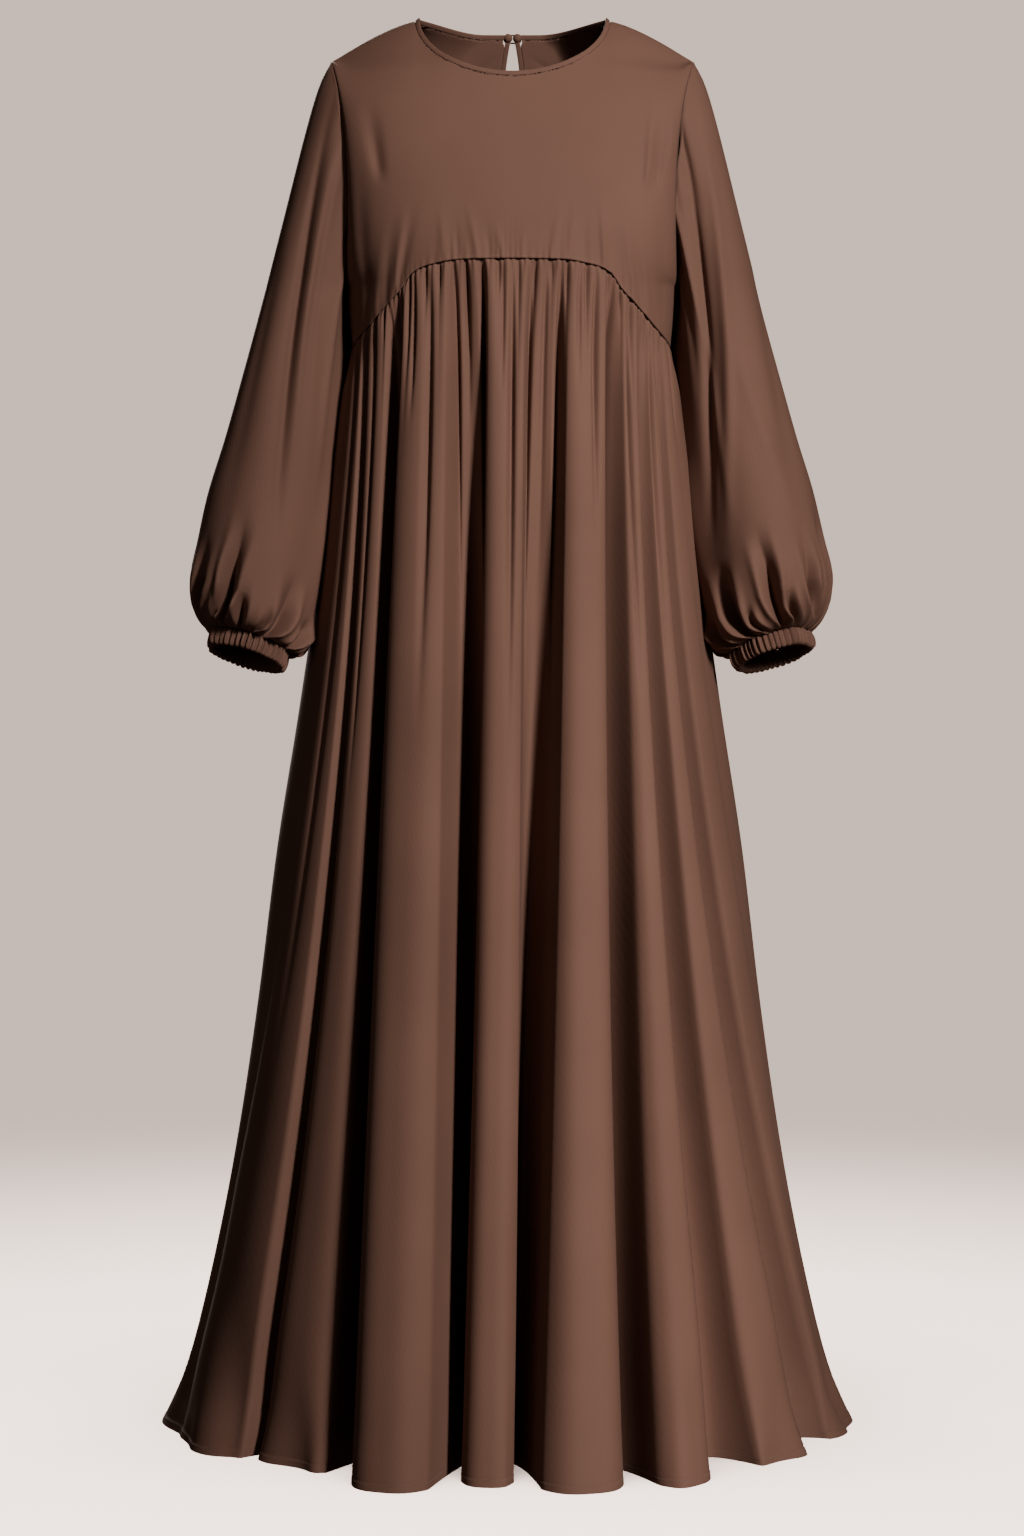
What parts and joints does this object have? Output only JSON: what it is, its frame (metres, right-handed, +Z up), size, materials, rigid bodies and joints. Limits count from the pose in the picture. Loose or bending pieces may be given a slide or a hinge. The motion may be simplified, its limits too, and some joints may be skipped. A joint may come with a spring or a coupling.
{
  "type": "abaya",
  "caption": "Abaya in its hollow worn form: bound round neck, plain bodice on a curved empire seam, full gathered skirt to the floor, long bishop sleeves, ruched cuffs and a back keyhole.",
  "frame": {"origin": "on the garment's mid plane between the two shoulder seams, at half their height, where a wearer's shoulders carry it; 1.375 m above the hem", "axes": "+Z up along the garment's length, +X to the viewer's right as the front is seen, +Y to the back"},
  "size_m": [0.69, 0.6039, 1.403],
  "materials": {
    "crepe": "smooth matte crepe with a soft sheen",
    "trim": "the same crepe, folded or ruched",
    "button": "crepe drawn over a round button"
  },
  "bodies": {
    "root": {"front_bodice": "crepe", "back_bodice": "crepe", "front_skirt": "crepe", "back_skirt": "crepe", "left_sleeve": "crepe", "right_sleeve": "crepe", "left_cuff": "trim", "right_cuff": "trim", "neck_binding": "trim", "keyhole_binding": "trim", "left_button": "button", "right_button": "button", "button_loop": "button"}
  },
  "joints": []
}
